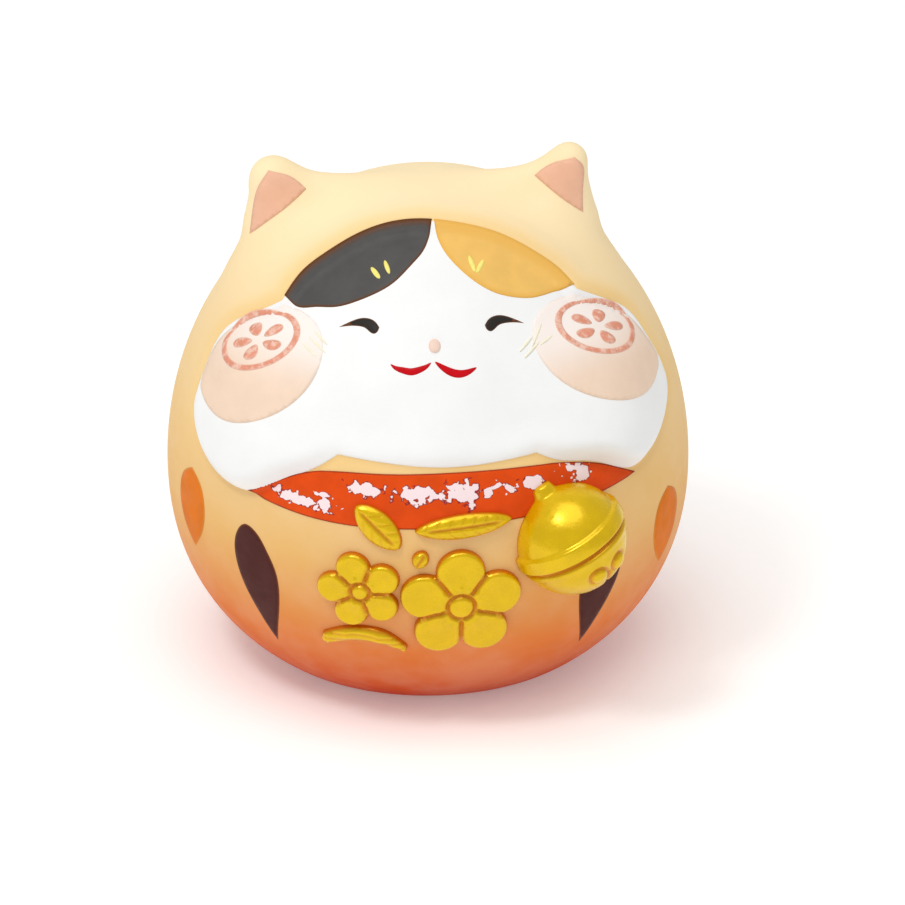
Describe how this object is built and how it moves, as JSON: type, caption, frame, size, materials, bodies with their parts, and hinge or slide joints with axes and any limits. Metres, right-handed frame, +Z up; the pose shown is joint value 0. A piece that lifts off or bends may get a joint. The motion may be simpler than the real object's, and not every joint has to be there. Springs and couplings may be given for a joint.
{
  "type": "daruma-style lucky cat figure",
  "caption": "Round hollow pottery lucky cat with a painted face, neckerchief, moulded gold bell and gold blossom sprig, and a pull-out plug in its foot.",
  "frame": {"origin": "middle of the foot, on the plane the figure rests on", "axes": "+Z up, the face looks along -Y, +X to the right of somebody facing the cat"},
  "size_m": [0.1008, 0.102, 0.1023],
  "materials": {
    "cream_clay": "matte",
    "white_paint": "matte",
    "charcoal_paint": "matte",
    "ochre_paint": "matte",
    "black_enamel": "satin",
    "red_enamel": "satin",
    "pink_paint": "matte",
    "pale_gold_line": "satin",
    "blush_paint": "matte",
    "seal_ink": "matte",
    "vermilion_paint": "matte",
    "dark_brown_paint": "matte",
    "orange_paint": "matte",
    "gold_paint": "satin",
    "soft_plug": "matte"
  },
  "bodies": {
    "figure": {"body_shell": "cream_clay", "bell": "gold_paint", "face_white": "white_paint", "patch_dark": "charcoal_paint", "patch_orange": "ochre_paint", "eye_left": "black_enamel", "eye_right": "black_enamel", "mouth": "red_enamel", "nose": "pink_paint", "whiskers": "pale_gold_line", "cheek_blush_left": "blush_paint", "cheek_blush_right": "blush_paint", "cheek_seal_left": "seal_ink", "cheek_seal_right": "seal_ink", "brow_marks": "pale_gold_line", "collar": "vermilion_paint", "ear_inner_left": "pink_paint", "ear_inner_right": "pink_paint", "front_spots": "dark_brown_paint", "side_spots": "orange_paint", "blossom_large": "gold_paint", "blossom_small": "gold_paint", "twig": "gold_paint", "leaves": "gold_paint"},
    "plug": {"drain_plug": "soft_plug"}
  },
  "joints": [
    {"name": "plug_slide", "type": "slide", "parent": "figure", "child": "plug", "axis": [0, 0, -1], "range_m": [0, 0.012]}
  ]
}
